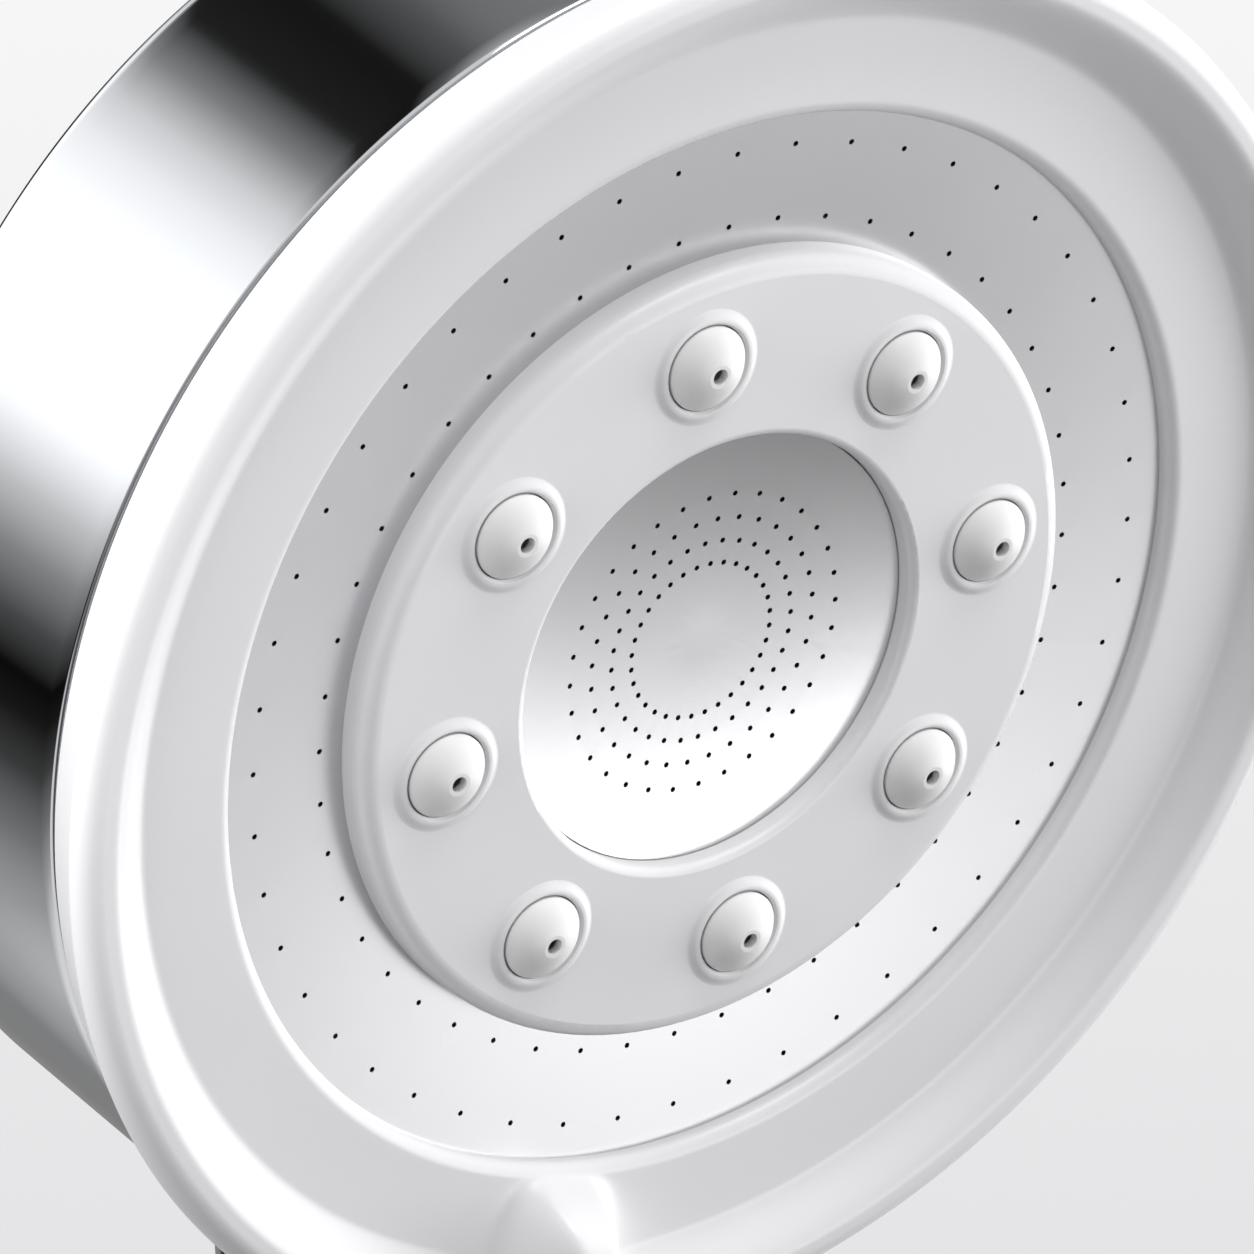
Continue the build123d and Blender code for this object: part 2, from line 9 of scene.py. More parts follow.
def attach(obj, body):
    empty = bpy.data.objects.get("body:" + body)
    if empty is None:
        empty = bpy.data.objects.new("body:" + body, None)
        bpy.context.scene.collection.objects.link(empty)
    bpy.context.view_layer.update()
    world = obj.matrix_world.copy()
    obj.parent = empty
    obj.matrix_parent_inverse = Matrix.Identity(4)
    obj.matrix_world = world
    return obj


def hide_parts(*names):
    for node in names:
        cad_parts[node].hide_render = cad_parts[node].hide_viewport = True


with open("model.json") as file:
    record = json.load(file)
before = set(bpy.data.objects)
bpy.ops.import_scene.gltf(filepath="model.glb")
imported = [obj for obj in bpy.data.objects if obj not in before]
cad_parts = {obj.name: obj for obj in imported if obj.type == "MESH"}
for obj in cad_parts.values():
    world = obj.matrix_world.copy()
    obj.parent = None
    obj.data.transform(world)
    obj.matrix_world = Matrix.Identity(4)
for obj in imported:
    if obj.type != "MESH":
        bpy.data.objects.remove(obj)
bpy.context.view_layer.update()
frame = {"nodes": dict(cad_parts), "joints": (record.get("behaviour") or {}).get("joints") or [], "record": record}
print("frame loaded:", len(frame["nodes"]), "nodes")

mm = 0.001

# The spray face has its own axes: sideways, up along the face, and outwards. They come from the selector's hinge.
hinge = next(joint for joint in frame["joints"] if joint["name"] == "selector_turn")
faceCentre = np.array(hinge["pos_m"])
faceOut = np.array(hinge["axis"])
faceSide = np.array([1.0, 0.0, 0.0])
faceUp = np.cross(faceOut, faceSide)


def fromFace(side, up, out):  # places in millimetres on the face's axes, as world places
    return faceCentre + mm * (side[..., None] * faceSide + up[..., None] * faceUp + out[..., None] * faceOut)


# Node trees


def srgb(code):  # sRGB hex to a linear colour with alpha
    part = np.array([int(code[i:i + 2], 16) for i in (1, 3, 5)]) / 255
    linear = np.where(part <= 0.04045, part / 12.92, ((part + 0.055) / 1.055) ** 2.4)
    return (*linear.tolist(), 1.0)


def addNode(tree, kind, settings=None, **links):  # one node, its settings and inputs by name or index
    node = tree.nodes.new(kind)
    for name, value in (settings or {}).items():
        setattr(node, name, value)
    for name, value in links.items():
        socket = node.inputs[int(name[1:])] if name[0] == "_" else node.inputs[name.replace("_", " ")]
        if isinstance(value, bpy.types.NodeSocket):
            tree.links.new(value, socket)
        else:
            socket.default_value = value
    return node


def newMaterial(name):
    material = bpy.data.materials.new(name)
    material.use_nodes = True
    tree = material.node_tree
    tree.nodes.clear()
    shader = addNode(tree, "ShaderNodeBsdfPrincipled")
    addNode(tree, "ShaderNodeOutputMaterial", Surface=shader.outputs[0])
    coords = addNode(tree, "ShaderNodeTexCoord").outputs["Object"]
    return material, tree, shader, coords


def setRamp(node, stops):
    ramp = node.color_ramp
    while len(ramp.elements) < len(stops):
        ramp.elements.new(0.5)
    for element, (place, colour) in zip(ramp.elements, stops):
        element.position = place
        element.color = colour


def grey(level):
    return (level, level, level, 1.0)


# Moulded ABS: glossy opaque white, with faint clouds in the pigment and a faint orange peel from the mould
absLook = {"colour": "#EDECEE", "shade": "#E6E5E8", "cloud": 22 * mm, "roughness": 0.34, "spread": 0.03,
           "peel": 0.9 * mm, "peelDepth": 0.0012 * mm, "ior": 1.53}


def mouldedAbs(name, look):
    material, tree, shader, coords = newMaterial(name)
    cloud = addNode(tree, "ShaderNodeTexNoise", Vector=coords, Scale=1 / look["cloud"], Detail=2.0)
    tint = addNode(tree, "ShaderNodeMix", {"data_type": "RGBA"}, _0=cloud.outputs[0], _6=srgb(look["colour"]),
                   _7=srgb(look["shade"]))
    peel = addNode(tree, "ShaderNodeTexNoise", Vector=coords, Scale=1 / look["peel"], Detail=3.0)
    gloss = addNode(tree, "ShaderNodeMapRange", Value=peel.outputs[0], To_Min=look["roughness"] - look["spread"],
                    To_Max=look["roughness"] + look["spread"])
    bump = addNode(tree, "ShaderNodeBump", Height=peel.outputs[0], Distance=look["peelDepth"], Strength=1.0)
    tree.links.new(tint.outputs[2], shader.inputs["Base Color"])
    tree.links.new(gloss.outputs[0], shader.inputs["Roughness"])
    tree.links.new(bump.outputs[0], shader.inputs["Normal"])
    shader.inputs["IOR"].default_value = look["ior"]
    return material


whiteAbs = mouldedAbs("moulded white ABS", absLook)
innerAbs = mouldedAbs("moulded grey ABS", {**absLook, "colour": "#CFD0D2", "shade": "#C6C8CB", "roughness": 0.45})

# Silicone and rubber are moulded too: softer gloss than the ABS beside them, and the silicone has a finer skin
silicone = mouldedAbs("moulded white silicone",
                      {**absLook, "colour": "#EEEDEC", "shade": "#E8E7E8", "roughness": 0.40, "peel": 0.5 * mm,
                       "peelDepth": 0.001 * mm})
sealRubber = mouldedAbs("moulded black EPDM rubber",
                        {**absLook, "colour": "#26272A", "shade": "#2E2F32", "roughness": 0.55})

# Chrome plating over ABS: a mirror with a slow waviness from the moulding under it
chromeLook = {"colour": "#D5D7DA", "roughness": 0.045, "haze": 6 * mm, "spread": 0.3, "wave": 24 * mm,
              "waveDepth": 0.004 * mm}


def chromePlating(look):
    material, tree, shader, coords = newMaterial("chrome plating")
    wave = addNode(tree, "ShaderNodeTexNoise", Vector=coords, Scale=1 / look["wave"], Detail=1.0)
    haze = addNode(tree, "ShaderNodeTexNoise", Vector=coords, Scale=1 / look["haze"], Detail=4.0)
    gloss = addNode(tree, "ShaderNodeMapRange", Value=haze.outputs[0],
                    To_Min=look["roughness"] * (1 - look["spread"]), To_Max=look["roughness"] * (1 + look["spread"]))
    bump = addNode(tree, "ShaderNodeBump", Height=wave.outputs[0], Distance=look["waveDepth"], Strength=1.0)
    shader.inputs["Base Color"].default_value = srgb(look["colour"])
    shader.inputs["Metallic"].default_value = 1.0
    tree.links.new(gloss.outputs[0], shader.inputs["Roughness"])
    tree.links.new(bump.outputs[0], shader.inputs["Normal"])
    return material


chrome = chromePlating(chromeLook)

# Satin stainless steel: a fine blasted grain that spreads every reflection
steelLook = {"colour": "#D2D2D4", "roughness": 0.27, "cloud": 9 * mm, "spread": 0.008, "grain": 0.22 * mm,
             "grainDepth": 0.0016 * mm}


def satinSteel(name, look):
    material, tree, shader, coords = newMaterial(name)
    grain = addNode(tree, "ShaderNodeTexNoise", Vector=coords, Scale=1 / look["grain"], Detail=3.0)
    cloud = addNode(tree, "ShaderNodeTexNoise", Vector=coords, Scale=1 / look["cloud"], Detail=2.0)
    gloss = addNode(tree, "ShaderNodeMapRange", Value=cloud.outputs[0], To_Min=look["roughness"] - look["spread"],
                    To_Max=look["roughness"] + look["spread"])
    bump = addNode(tree, "ShaderNodeBump", Height=grain.outputs[0], Distance=look["grainDepth"], Strength=1.0)
    shader.inputs["Base Color"].default_value = srgb(look["colour"])
    shader.inputs["Metallic"].default_value = 1.0
    tree.links.new(gloss.outputs[0], shader.inputs["Roughness"])
    tree.links.new(bump.outputs[0], shader.inputs["Normal"])
    return material


stainless = satinSteel("satin stainless steel", steelLook)
springSteel = satinSteel("bright spring steel", {**steelLook, "roughness": 0.24})

# Needled felt: matt off-white fibres
feltLook = {"colour": "#E3E0D6", "shade": "#CFCBBE", "roughness": 0.9, "fibre": 0.4 * mm, "fuzz": 0.7,
            "fibreDepth": 0.1 * mm, "fibreStrength": 0.6}


def needledFelt(look):
    material, tree, shader, coords = newMaterial("needled filter felt")
    fibre = addNode(tree, "ShaderNodeTexNoise", Vector=coords, Scale=1 / look["fibre"], Detail=5.0,
                    Roughness=look["fuzz"])
    tint = addNode(tree, "ShaderNodeMix", {"data_type": "RGBA"}, _0=fibre.outputs[0], _6=srgb(look["colour"]),
                   _7=srgb(look["shade"]))
    bump = addNode(tree, "ShaderNodeBump", Height=fibre.outputs[0], Distance=look["fibreDepth"],
                   Strength=look["fibreStrength"])
    tree.links.new(tint.outputs[2], shader.inputs["Base Color"])
    tree.links.new(bump.outputs[0], shader.inputs["Normal"])
    shader.inputs["Roughness"].default_value = look["roughness"]
    return material


felt = needledFelt(feltLook)

finishOfSlot = {
    "chrome_plate": chrome,
    "white_plastic": whiteAbs,
    "satin_steel": stainless,
    "silicone": silicone,
    "inner_plastic": innerAbs,
    "seal_rubber": sealRubber,
    "spring_steel": springSteel,
    "filter_felt": felt,
}
for part in frame["record"]["subparts"]:
    mesh = frame["nodes"][part["node"]].data
    mesh.materials.clear()
    mesh.materials.append(finishOfSlot[part["material_slot"]])
print("materials set on", len(frame["nodes"]), "nodes")

# Surfaces: each new piece is one or more grids of places that close on themselves both ways
sharpAngle = math.radians(34)  # an edge that turns by more is left hard


def arc(centre, radius, start, end, count):  # places on a circle, between two angles in degrees
    a = np.radians(np.linspace(start, end, count))
    return np.stack([centre[0] + radius * np.cos(a), centre[1] + radius * np.sin(a)], 1)


def path(*corners, step=1.2):  # places along straight runs from corner to corner, about a step apart
    runs = []
    for first, last in zip(corners, corners[1:]):
        count = 1 + max(1, round(math.dist(first, last) / step))
        runs.append(np.linspace(first, last, count)[:-1])
    return np.concatenate(runs + [np.array(corners[-1:], float)])


def outline(*runs):  # runs joined into one closed outline, each doubled place kept once
    points = np.concatenate(runs)
    return points[np.linalg.norm(points - np.roll(points, 1, 0), axis=1) > 1e-6]


def smoothStep(x):  # 0 below 0, 1 above 1, and 3x2 - 2x3 between
    x = np.clip(x, 0, 1)
    return x * x * (3 - 2 * x)


def through(stations, values, at):  # a cubic through the stations, whose slopes come from their neighbours
    stations, values = np.array(stations, float), np.array(values, float)
    slope = np.gradient(values, stations)
    i = np.clip(np.searchsorted(stations, at) - 1, 0, len(stations) - 2)
    gap = stations[i + 1] - stations[i]
    s = (at - stations[i]) / gap
    near = values[i] * (2 * s ** 3 - 3 * s ** 2 + 1) + slope[i] * gap * (s ** 3 - 2 * s ** 2 + s)
    return near + values[i + 1] * (3 * s ** 2 - 2 * s ** 3) + slope[i + 1] * gap * (s ** 3 - s ** 2)


def closedQuads(grid):  # faces between neighbouring rows and columns, turned so that they enclose a positive volume
    rows, columns = grid.shape[:2]
    i, j = np.meshgrid(np.arange(rows), np.arange(columns), indexing="ij")
    below, beside = (i + 1) % rows, (j + 1) % columns
    quads = np.stack([i * columns + j, below * columns + j, below * columns + beside, i * columns + beside], -1)
    quads = quads.reshape(-1, 4)
    a, b, c, d = np.moveaxis(grid.reshape(-1, 3)[quads], 1, 0)
    volume = np.sum(a * np.cross(b, c)) + np.sum(a * np.cross(c, d))
    return quads if volume > 0 else quads[:, ::-1]


def newPiece(name, grids, material, node, body):  # a mesh from closed grids, standing for a CAD node
    places, quads, count = [], [], 0
    for grid in grids:
        quads.append(closedQuads(grid) + count)
        places.append(grid.reshape(-1, 3))
        count += len(places[-1])
    mesh = bpy.data.meshes.new(name)
    mesh.from_pydata(np.concatenate(places).tolist(), [], np.concatenate(quads).tolist())
    mesh.shade_smooth()
    mesh.set_sharp_from_angle(angle=sharpAngle)
    mesh.materials.append(material)
    piece = bpy.data.objects.new(name, mesh)
    bpy.context.scene.collection.objects.link(piece)
    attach(piece, body)
    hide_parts(node)
    print(name, "made,", len(mesh.polygons), "faces")


# Selector ring: an outline carried round the face, with the lever drawn out of it at 6 o'clock
ringLook = {
    "edge": 52.4, "crest": 1.9, "crestRound": 1.7, "floor": -0.75, "floorEdge": 46.0, "steepness": 1.15,
    "lip": 39.1, "lipRound": 1.0, "lipBack": -2.1, "back": (51.0, -3.74), "columns": 480, "crowding": 0.8,
    "hidden": [(49.0, -3.74), (49.0, -0.75), (47.6, -0.75), (47.6, -6.24), (46.4, -6.24), (46.4, -2.75),
               (42.5, -2.75), (42.5, -8.25), (40.5, -8.25)],  # radius and height of the rib and the socket behind
    "lipRows": 12, "slopeRows": 28, "crestRows": 30, "floorStep": 0.16, "sideStep": 0.2,
    "leverRise": 5.6, "leverClimb": 0.26, "leverNose": 39.75, "leverBow": (0.8, 0.9),
    "leverHalfWidth": 3.0, "leverTaper": (0.5, 0.8),  # at the nose it is narrower by, over a length of
    "leverPower": 2.4,
    "leverNosePower": (8, 2.6),  # at the nose it is more by, over a length of
    "leverEndPower": (2.6, 6, 4.6),  # at the end it is more by, from, over a length of
    "tip": [(0, 50.7, 7.6), (0.18, 53.0, 7.75), (0.32, 54.7, 7.3), (0.44, 55.6, 6.2), (0.54, 55.4, 5.0),
            (0.66, 54.0, 4.1), (0.80, 52.6, 2.4), (0.90, 51.9, -0.2), (1, 51.0, -3.74)],  # share, radius, height
}


def leverWeight(along, aside, look):  # 1 / (1 + (aside / half width) ^ p): 1 on the ridge, p is high at the nose
    fromNose = np.clip(along, 0, None)
    taper, taperLength = look["leverTaper"]
    nosePower, noseLength = look["leverNosePower"]
    endPower, endStart, endLength = look["leverEndPower"]
    halfWidth = look["leverHalfWidth"] - taper * np.exp(-fromNose / taperLength)
    power = look["leverPower"] + nosePower * np.exp(-fromNose / noseLength)
    power = power + endPower * smoothStep((along - endStart) / endLength)
    return 1 / (1 + (np.abs(aside) / halfWidth) ** power)


def makeRing(look):  # side = r cos t, up = r sin t, out = h along the outline, drawn to the lever by its weight
    crestRadius = look["edge"] - look["crestRound"]
    floor, lip, lipRound = look["floor"], look["lip"], look["lipRound"]
    s = np.linspace(0, 1, look["slopeRows"])
    slope = np.stack([look["floorEdge"] + (crestRadius - look["floorEdge"]) * s,
                      floor + (look["crest"] - floor) * smoothStep(s * look["steepness"])], 1)
    top = outline(arc((lip + lipRound, floor - lipRound), lipRound, 180, 90, look["lipRows"]),
                  path((lip + lipRound, floor), (look["floorEdge"], floor), step=look["floorStep"]), slope)
    crestFoot = look["crest"] - look["crestRound"]
    side = outline(arc((crestRadius, crestFoot), look["crestRound"], 90, 0, look["crestRows"]),
                   path((look["edge"], crestFoot), look["back"], step=look["sideStep"]))[1:]
    hidden = path(look["back"], *look["hidden"], (look["hidden"][-1][0], look["lipBack"]), (lip, look["lipBack"]),
                  (lip, floor - lipRound))[1:-1]
    v = np.linspace(-1, 1, look["columns"], endpoint=False)
    crowding = look["crowding"]
    turn = -np.pi / 2 + np.pi * ((1 - crowding) * v + crowding * v ** 3)  # columns crowd together at the lever

    radius, out = top[:, :1] + 0 * turn, top[:, 1:] + 0 * turn
    along, aside = -radius * np.sin(turn), radius * np.cos(turn)
    run = np.clip(along - look["leverNose"], 0, None)
    bow, bowGrowth = look["leverBow"]
    rise = look["leverRise"] * (1 - np.exp(-run ** 2 / (bow + bowGrowth * run)))
    rise = floor + rise + look["leverClimb"] * run * (1 - np.exp(-run))
    weight = np.where(run > 0, leverWeight(run, aside, look), 0)
    topGrid = (radius, out + weight * np.clip(rise - out, 0, None))

    length = np.concatenate([[0], np.cumsum(np.linalg.norm(np.diff(side, axis=0), axis=1))])
    share = (length / length[-1])[:, None]
    tipShare, tipRadius, tipOut = np.array(look["tip"]).T
    radius, out = side[:, :1] + 0 * turn, side[:, 1:] + 0 * turn
    along, aside = -radius * np.sin(turn), radius * np.cos(turn)
    weight = np.where(along > 0, leverWeight(along - look["leverNose"], aside, look), 0)
    sideGrid = (radius + weight * (through(tipShare, tipRadius, share) - radius),
                out + weight * (through(tipShare, tipOut, share) - out))

    hiddenGrid = (hidden[:, :1] + 0 * turn, hidden[:, 1:] + 0 * turn)
    radius, out = (np.concatenate(rows) for rows in zip(topGrid, sideGrid, hiddenGrid))
    grid = fromFace(radius * np.cos(turn), radius * np.sin(turn), out)
    newPiece("selectorRing", [grid], whiteAbs, "selector_ring", "spray_face")


makeRing(ringLook)

# Drum and handle: an outline carried round the face, and a stem whose neck runs out onto the drum's side.
# The drum's front edge stands back a little from the solid's, so that the shadow gap behind the ring shows.
drumLook = {"radius": 50.7, "front": -4.45, "back": -29.3, "frontRound": 0.35, "backRound": 2.0, "bore": 47.9,
            "flange": (40.8, -14.4, -17.6), "columns": 480, "frontRows": 10, "backRows": 16}
stemLook = {
    "heights": [14.0, 40.0, 88.0, 156.78, 167.98], "halfWidths": [11.4, 12.2, 12.5, 14.4, 16.0],
    "halfDepths": [11.4, 12.2, 12.5, 9.58, 9.58], "rows": 110, "columns": 256,
    "bore": 9.0, "boreTop": 146.78,
    "neckStation": 3,  # its ellipse gives the directions in which the neck runs out
    "meetSpan": (120.0, 172.0), "halvings": 40,  # heights between which the stem meets the drum
    "blend": 5.5, "roomShare": 0.85, "leastRoom": 0.2, "softness": 3.0, "neckRows": 24,
    "sink": 0.01, "tuck": 0.98, "tuckMargin": 3,  # the neck ends just under the drum's skin and closes inside it
}


def drumRadiusAt(out, look):  # the side, and past its back edge the round: r = R - b + sqrt(b2 - d2)
    past = np.clip(look["back"] + look["backRound"] - out, 0, look["backRound"])
    return look["radius"] - look["backRound"] + np.sqrt(look["backRound"] ** 2 - past ** 2)


def drumGrid(look):  # a turned shape: side = r cos t, up = r sin t, out = h along the outline
    flange, flangeFront, flangeBack = look["flange"]
    frontRound, backRound = look["frontRound"], look["backRound"]
    profile = outline(
        path((look["bore"], look["front"]), (look["radius"] - frontRound, look["front"])),
        arc((look["radius"] - frontRound, look["front"] - frontRound), frontRound, 90, 0, look["frontRows"]),
        path((look["radius"], look["front"] - frontRound), (look["radius"], look["back"] + backRound)),
        arc((look["radius"] - backRound, look["back"] + backRound), backRound, 0, -90, look["backRows"]),
        path((look["radius"] - backRound, look["back"]), (look["bore"], look["back"]), (look["bore"], flangeBack),
             (flange, flangeBack), (flange, flangeFront), (look["bore"], flangeFront), (look["bore"], look["front"])))
    turn = np.linspace(0, 2 * np.pi, look["columns"], endpoint=False)
    radius, out = profile[:, :1] + 0 * turn, profile[:, 1:] + 0 * turn
    return fromFace(radius * np.cos(turn), radius * np.sin(turn), out)


def stemPlace(turn, height, look):  # an ellipse at each height: x = a cos t, y = b sin t
    halfWidth = through(look["heights"], look["halfWidths"], height)
    halfDepth = through(look["heights"], look["halfDepths"], height)
    return mm * np.stack([halfWidth * np.cos(turn), halfDepth * np.sin(turn), height], -1)


def onFace(places):  # world places on the face's axes, in millimetres
    away = (places - faceCentre) / mm
    return away @ faceSide, away @ faceUp, away @ faceOut


def stemGrid(look, drum):  # ellipses up the stem, then (1 - t)2 start + 2t (1 - t) meet + t2 end along the neck
    turn = np.linspace(0, 2 * np.pi, look["columns"], endpoint=False)
    low, high = (np.full(turn.shape, height) for height in look["meetSpan"])
    for _ in range(look["halvings"]):  # halve the span in which each line up the stem meets the drum's side
        middle = (low + high) / 2
        side, up, out = onFace(stemPlace(turn, middle, look))
        outside = np.hypot(side, up) > drum["radius"]
        low, high = np.where(outside, middle, low), np.where(outside, high, middle)
    meet = stemPlace(turn, low, look)
    side, up, out = onFace(meet)
    room = np.stack([drum["front"] - drum["frontRound"] - out, out - drum["back"]]).clip(look["leastRoom"])
    power = -look["softness"]
    blend = look["blend"] ** power + np.sum((look["roomShare"] * room) ** power, 0)
    blend = blend ** (1 / power)  # a soft least of the wished blend and the room
    start = stemPlace(turn, low - blend, look)
    neckWidth, neckDepth = (look[name][look["neckStation"]] for name in ("halfWidths", "halfDepths"))
    away = np.stack([np.cos(turn) / neckWidth, np.sin(turn) / neckDepth, 0 * turn], 1)
    radial = (side[:, None] * faceSide + up[:, None] * faceUp) / drum["radius"]
    away -= np.sum(away * radial, 1)[:, None] * radial
    away /= np.linalg.norm(away, axis=1)[:, None]
    side, up, out = onFace(meet + mm * blend[:, None] * away)
    scale = (drumRadiusAt(out, drum) - look["sink"]) / np.hypot(side, up)
    end = fromFace(side * scale, up * scale, out)
    inside = fromFace(side * scale * look["tuck"], up * scale * look["tuck"],
                      np.clip(out, drum["back"] + look["tuckMargin"], drum["front"] - look["tuckMargin"]))
    share = np.linspace(0, 1, look["rows"])[:, None]
    foot = look["heights"][0]
    stem = stemPlace(turn + 0 * share, foot + (low - blend - foot) * share, look)
    t = np.linspace(0, 1, look["neckRows"])[1:, None, None]
    neck = (1 - t) ** 2 * start + 2 * t * (1 - t) * meet + t ** 2 * end
    bore = mm * np.stack([look["bore"] * np.cos(turn), look["bore"] * np.sin(turn)], -1)
    boreRows = [np.concatenate([bore, np.full((len(turn), 1), mm * z)], 1) for z in (look["boreTop"], foot)]
    return np.concatenate([stem, neck, [inside], boreRows])


newPiece("drumShell", [drumGrid(drumLook), stemGrid(stemLook, drumLook)], chrome, "body_shell", "housing")

# Inlet: a turned spigot with a G 1/2 pipe thread
inletLook = {"pitch": 1.814, "crest": 10.48, "depth": 1.16, "length": 12.0, "lead": 1.0, "columns": 160,
             "threadStep": 0.125, "flankSteepness": 1.15, "crestFlat": 0.075,
             "collar": 11.4, "collarRound": 0.5, "collarRows": 8, "collarTop": 14.0, "spigot": 8.9, "top": 26.0,
             "bore": 6.8, "mouth": 0.4, "groove": (7.6, 19.3, 20.7), "step": (5.4, 21.0)}


def makeInlet(look):  # x = r cos t, y = r sin t, and r rises where height / pitch - t / (2 pi) nears a whole number
    collarRound, length = look["collarRound"], look["length"]
    groove, grooveLow, grooveHigh = look["groove"]
    stepBore, stepLow = look["step"]
    root = look["crest"] - look["depth"]
    thread = path((root, 0), (root, length), step=look["threadStep"])
    rest = outline(
        path((root, length), (look["collar"] - collarRound, length)),
        arc((look["collar"] - collarRound, length + collarRound), collarRound, -90, 0, look["collarRows"]),
        path((look["collar"], length + collarRound), (look["collar"], look["collarTop"]),
             (look["spigot"], look["collarTop"]), (look["spigot"], grooveLow), (groove, grooveLow),
             (groove, grooveHigh), (look["spigot"], grooveHigh), (look["spigot"], look["top"]),
             (stepBore, look["top"]), (stepBore, stepLow), (look["bore"], stepLow), (look["bore"], look["mouth"]),
             (look["bore"] + look["mouth"], 0)))[1:]
    turn = np.linspace(0, 2 * np.pi, look["columns"], endpoint=False)
    height = thread[:, 1:] + 0 * turn
    phase = (height / look["pitch"] - turn / (2 * np.pi)) % 1  # one turn of the helix for each pitch
    ridge = smoothStep(look["flankSteepness"] * np.abs(2 * phase - 1) - look["crestFlat"])
    lead = smoothStep(height / look["lead"]) * smoothStep((length - height) / look["lead"])
    radius = np.concatenate([root + look["depth"] * ridge * lead, rest[:, :1] + 0 * turn])
    height = np.concatenate([height, rest[:, 1:] + 0 * turn])
    grid = mm * np.stack([radius * np.cos(turn), radius * np.sin(turn), height], -1)
    newPiece("inletThread", [grid], chrome, "inlet_nipple", "housing")


makeInlet(inletLook)

# Floor: a pale disc that fades out into the background. Mirrors look through it, and little light bounces off it.
floorLook = {"colour": "#CBCBCD", "bounce": "#6C6C6D", "roughness": 0.8, "radius": 1.1, "corners": 96, "clear": 0.55,
             "drop": 0.4 * mm}


def makeFloor(look):
    turn = np.linspace(0, 2 * np.pi, look["corners"], endpoint=False)
    rim = np.stack([look["radius"] * np.cos(turn), look["radius"] * np.sin(turn), 0 * turn - look["drop"]], 1)
    mesh = bpy.data.meshes.new("floor")
    mesh.from_pydata(rim.tolist(), [], [list(range(len(rim)))])
    floor = bpy.data.objects.new("floor", mesh)
    bpy.context.scene.collection.objects.link(floor)
    material, tree, shader, coords = newMaterial("studio floor paper")
    shader.inputs["Roughness"].default_value = look["roughness"]
    reach = addNode(tree, "ShaderNodeVectorMath", {"operation": "LENGTH"}, _0=coords)
    fade = addNode(tree, "ShaderNodeMapRange", {"interpolation_type": "SMOOTHSTEP"}, Value=reach.outputs["Value"],
                   From_Min=look["clear"] * look["radius"], From_Max=look["radius"])
    ray = addNode(tree, "ShaderNodeLightPath")
    tint = addNode(tree, "ShaderNodeMix", {"data_type": "RGBA"}, _0=ray.outputs["Is Diffuse Ray"],
                   _6=srgb(look["colour"]), _7=srgb(look["bounce"]))
    tree.links.new(tint.outputs[2], shader.inputs["Base Color"])
    clear = addNode(tree, "ShaderNodeMath", {"operation": "MAXIMUM"}, _0=fade.outputs[0],
                    _1=ray.outputs["Is Glossy Ray"])
    gap = addNode(tree, "ShaderNodeBsdfTransparent")
    mix = addNode(tree, "ShaderNodeMixShader", _0=clear.outputs[0], _1=shader.outputs[0], _2=gap.outputs[0])
    tree.links.new(mix.outputs[0], tree.nodes["Material Output"].inputs["Surface"])
    mesh.materials.append(material)


makeFloor(floorLook)

# Surround: what the light and the metal see in each direction, as levels by the height of the direction.
# Behind on the left stands a white screen between two dark edges, behind on the right a pale wall,
# in front on the right a low window, and in front on the left soft light from above. A dark panel, drawn as shares,
# covers the pale wall where it stands straight behind. The spans are of the direction's x, y or z.
surroundLook = {
    "screen": [(-0.36, 0.88), (-0.32, 0.42), (-0.28, 0.22), (-0.22, 0.06), (-0.16, 0.012), (-0.11, 0.004),
               (-0.04, 0.09), (0.05, 0.33), (0.14, 0.75), (0.24, 1.40), (0.32, 1.80), (0.47, 1.80),
               (0.58, 1.52), (0.66, 1.25), (0.72, 0.89), (0.78, 0.31), (0.83, 0.02), (0.89, 0.01),
               (0.915, 0.12), (0.935, 0.36), (0.96, 0.70)],
    "room": [(-0.60, 0.60), (-0.36, 0.92), (-0.32, 0.46), (-0.28, 0.26), (-0.20, 0.24), (-0.12, 0.26),
             (-0.03, 0.24), (0.04, 0.26), (0.22, 0.55), (0.45, 0.85), (0.70, 0.60), (0.90, 0.25)],
    "window": [(-1.00, 0.16), (-0.99, 0.20), (-0.93, 0.34), (-0.85, 0.62), (-0.77, 1.50), (-0.70, 3.50),
               (-0.49, 3.50), (-0.37, 0.60), (-0.27, 0.25), (0.33, 0.46)],
    "windowTilt": -0.42,
    "corner": [(-0.60, 0.10), (0.00, 0.36), (0.50, 0.85)],
    "panel": [(-0.02, 0.0), (0.03, 1.0), (0.40, 1.0), (0.48, 0.0)],
    "panelLevel": 0.02,
    "leftSpan": (0.12, -0.12), "behindSpan": (-0.1, 0.3), "panelSpan": (0.76, 0.85), "horizonSpan": (-0.07, 0.07),
    "backTop": "#F6F6F6",
    "backLow": "#E5E4E6",
}


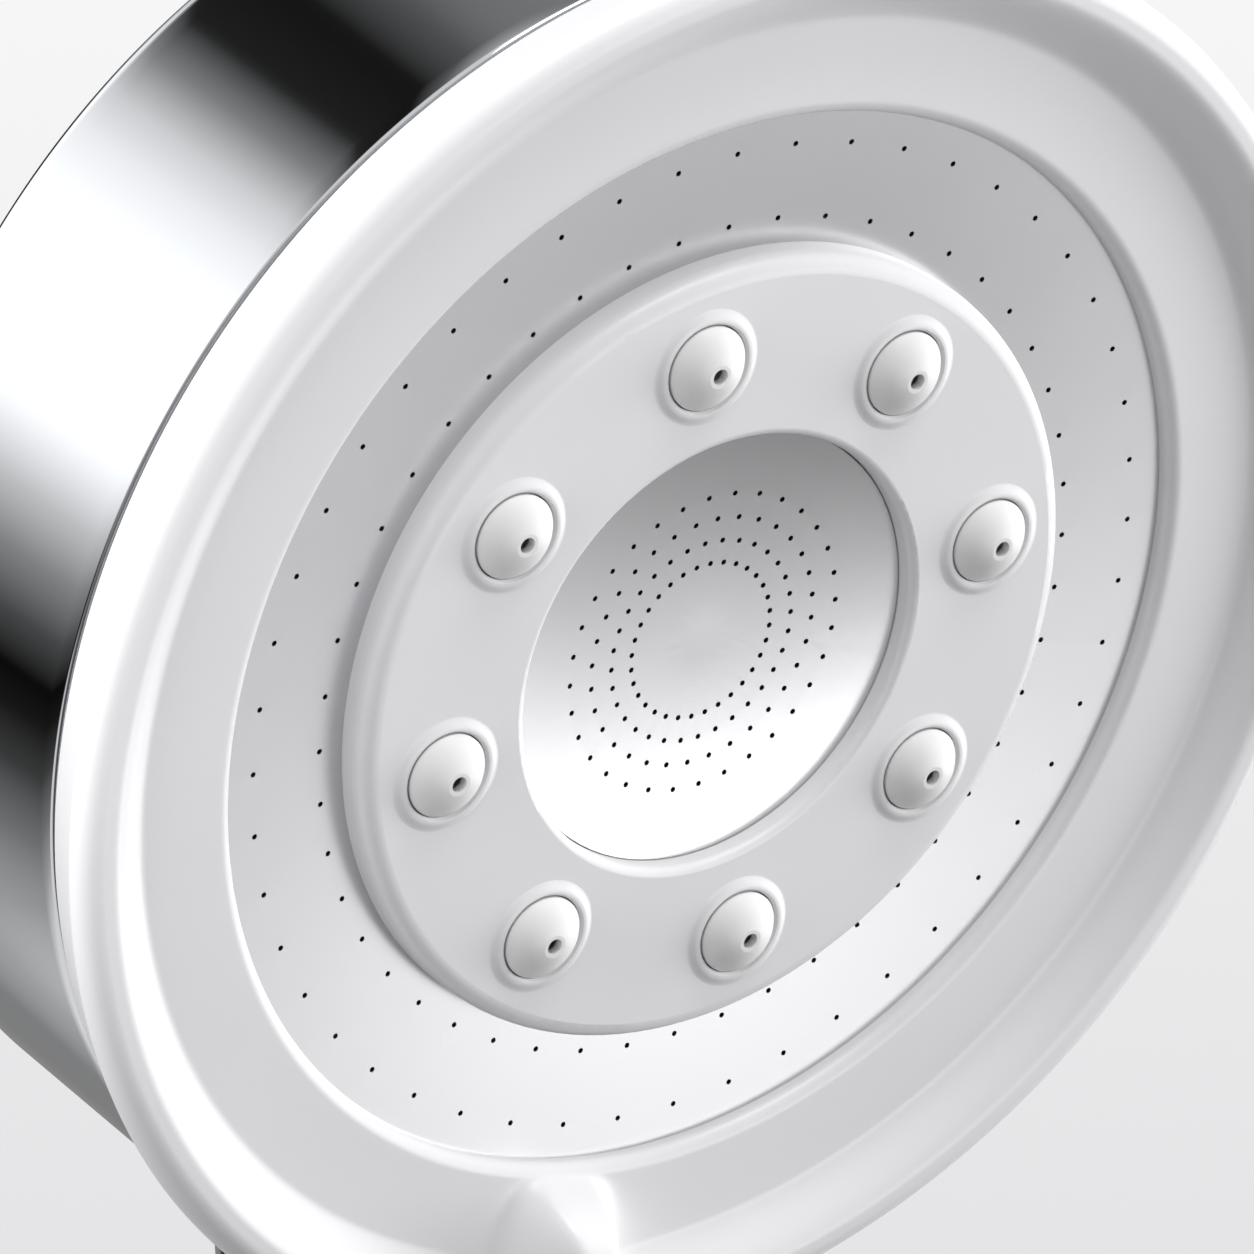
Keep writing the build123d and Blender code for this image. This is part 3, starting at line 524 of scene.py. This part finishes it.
def makeSurround(look):
    world = bpy.data.worlds.new("studio")
    bpy.context.scene.world = world
    world.use_nodes = True
    tree = world.node_tree
    tree.nodes.clear()
    way = addNode(tree, "ShaderNodeTexCoord").outputs["Generated"]
    aside, depth, rise = addNode(tree, "ShaderNodeSeparateXYZ", Vector=way).outputs
    share = {}
    for name, value in (("left", aside), ("behind", depth), ("panel", depth)):
        low, high = look[name + "Span"]
        share[name] = addNode(tree, "ShaderNodeMapRange", {"interpolation_type": "SMOOTHSTEP"}, Value=value,
                              From_Min=low, From_Max=high).outputs[0]
    height = addNode(tree, "ShaderNodeMapRange", Value=rise, From_Min=-1.0, From_Max=1.0)
    tilted = addNode(tree, "ShaderNodeMath", {"operation": "MULTIPLY_ADD"}, _0=aside, _1=look["windowTilt"] / 2,
                     _2=height.outputs[0])
    level = {"panelLevel": grey(look["panelLevel"])}
    for name in ("screen", "room", "window", "corner", "panel"):
        ramp = addNode(tree, "ShaderNodeValToRGB", Fac=(tilted if name == "window" else height).outputs[0])
        setRamp(ramp, [((z + 1) / 2, grey(value)) for z, value in look[name]])
        level[name] = ramp.outputs[0]
    share["dark"] = addNode(tree, "ShaderNodeMath", {"operation": "MULTIPLY"}, _0=share["panel"],
                            _1=level["panel"]).outputs[0]
    low, high = look["horizonSpan"]
    share["above"] = addNode(tree, "ShaderNodeMapRange", Value=rise, From_Min=low, From_Max=high).outputs[0]
    share["seen"] = addNode(tree, "ShaderNodeLightPath").outputs["Is Camera Ray"]
    level["backLow"], level["backTop"] = srgb(look["backLow"]), srgb(look["backTop"])
    mixes = [("wall", "dark", "room", "panelLevel"), ("back", "left", "wall", "screen"),
             ("front", "left", "window", "corner"), ("all", "behind", "front", "back"),
             ("backdrop", "above", "backLow", "backTop"), ("sky", "seen", "all", "backdrop")]
    for result, by, first, second in mixes:  # the first level where the share is 0, the second where it is 1
        level[result] = addNode(tree, "ShaderNodeMix", {"data_type": "RGBA"}, _0=share[by], _6=level[first],
                                _7=level[second]).outputs[2]
    light = addNode(tree, "ShaderNodeBackground", Color=level["sky"], Strength=1.0)
    addNode(tree, "ShaderNodeOutputWorld", Surface=light.outputs[0])


makeSurround(surroundLook)

# Lamps: each looks at the middle of the face from an azimuth and an elevation. A lamp that isn't mirrored lights
# only matt surfaces, and none is seen by the camera.
lampLook = {
    "key": {"azimuth": 64, "elevation": 6, "distance": 1.15, "size": (0.90, 0.60), "watts": 12.4,
            "mirrored": False},
    "top": {"azimuth": 0, "elevation": 60, "distance": 0.60, "size": (0.36, 0.30), "watts": 2.30,
            "mirrored": True},
    "edge": {"azimuth": -86, "elevation": -2, "distance": 0.11, "size": (0.05, 0.10), "watts": 0.055,
             "mirrored": False},
}


def towards(azimuth, elevation):  # a direction, from degrees: azimuth 0 is the front, 90 is the right
    a = math.radians(azimuth)
    e = math.radians(elevation)
    return Vector((math.sin(a) * math.cos(e), -math.cos(a) * math.cos(e), math.sin(e)))


def makeLamp(name, look):
    lamp = bpy.data.lights.new(name, "AREA")
    lamp.shape = "RECTANGLE"
    lamp.size, lamp.size_y = look["size"]
    lamp.energy = look["watts"]
    holder = bpy.data.objects.new(name, lamp)
    holder.visible_glossy = look["mirrored"]
    holder.visible_camera = False
    way = towards(look["azimuth"], look["elevation"])
    place = Vector(faceCentre) + look["distance"] * way
    holder.matrix_world = Matrix.Translation(place) @ way.to_track_quat("Z", "Y").to_matrix().to_4x4()
    bpy.context.scene.collection.objects.link(holder)


for lampName, look in lampLook.items():
    makeLamp(lampName, look)

# Camera: level, from the front left, close on the face
cameraLook = {"azimuth": -39.56, "distance": 592.5 * mm, "aside": -6.58 * mm, "rise": 2.02 * mm, "lens": 251.7,
              "sensor": 36, "sight": 50}


def makeCamera(look):
    lens = bpy.data.cameras.new("camera")
    lens.lens = look["lens"]
    lens.sensor_width = look["sensor"]
    lens.clip_end = look["sight"]
    holder = bpy.data.objects.new("camera", lens)
    back = towards(look["azimuth"], 0)
    right = Vector((0, 0, 1)).cross(back)
    place = Vector(faceCentre) + look["aside"] * right + Vector((0, 0, look["rise"])) + look["distance"] * back
    holder.matrix_world = Matrix.Translation(place) @ back.to_track_quat("Z", "Y").to_matrix().to_4x4()
    bpy.context.scene.collection.objects.link(holder)
    bpy.context.scene.camera = holder


makeCamera(cameraLook)
bpy.context.scene.view_settings.view_transform = "Standard"
print("floor, surround, lamps and camera placed")
